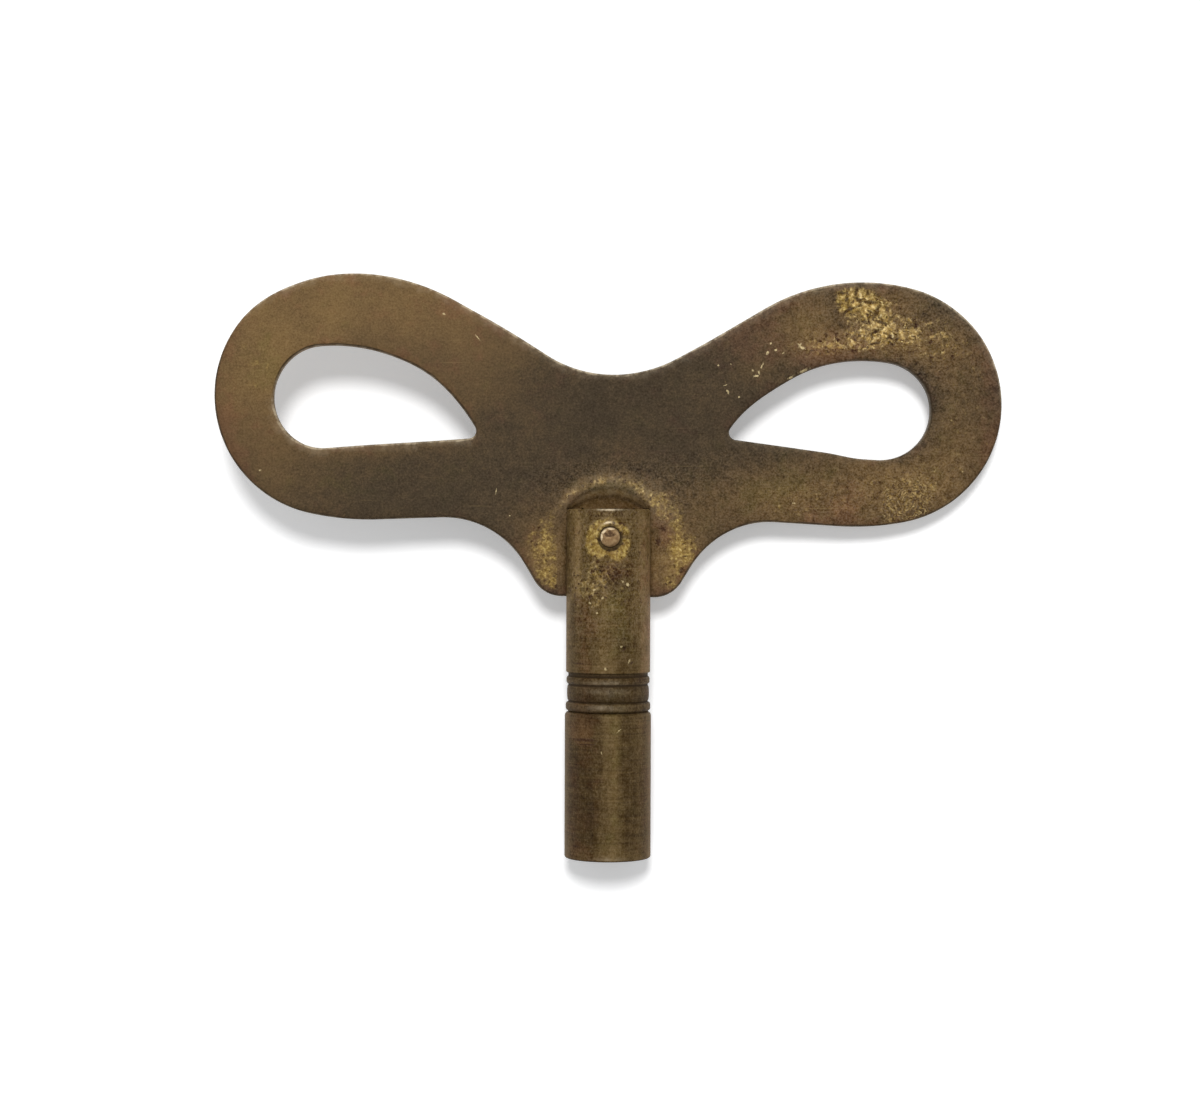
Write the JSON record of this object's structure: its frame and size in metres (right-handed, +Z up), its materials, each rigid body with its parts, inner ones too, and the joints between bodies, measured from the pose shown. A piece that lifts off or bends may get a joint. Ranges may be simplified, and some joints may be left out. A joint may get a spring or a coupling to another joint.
{
  "type": "clock key",
  "caption": "Butterfly-winged clock winding key: a pressed brass handle with an eye in each wing, riveted over a turned round shank with a square winding socket in its end.",
  "frame": {"origin": "middle of the square socket's mouth, on the shank's axis and in the plane of the end face", "axes": "+X across the wings, to the right as seen from the front; +Y along the shank from the socket's mouth towards the wings; +Z up out of the handle's front face, with the key lying on its back"},
  "size_m": [0.075, 0.0554, 0.01],
  "materials": {
    "handle_brass": "aged, dark brown patina worn to brass round the pocket and on the edges",
    "shank_brass": "aged, brown patina, turned",
    "rivet_brass": "bare, hammered"
  },
  "bodies": {
    "root": {"wing_handle": "handle_brass", "shank": "shank_brass", "rivet": "rivet_brass"}
  },
  "joints": []
}
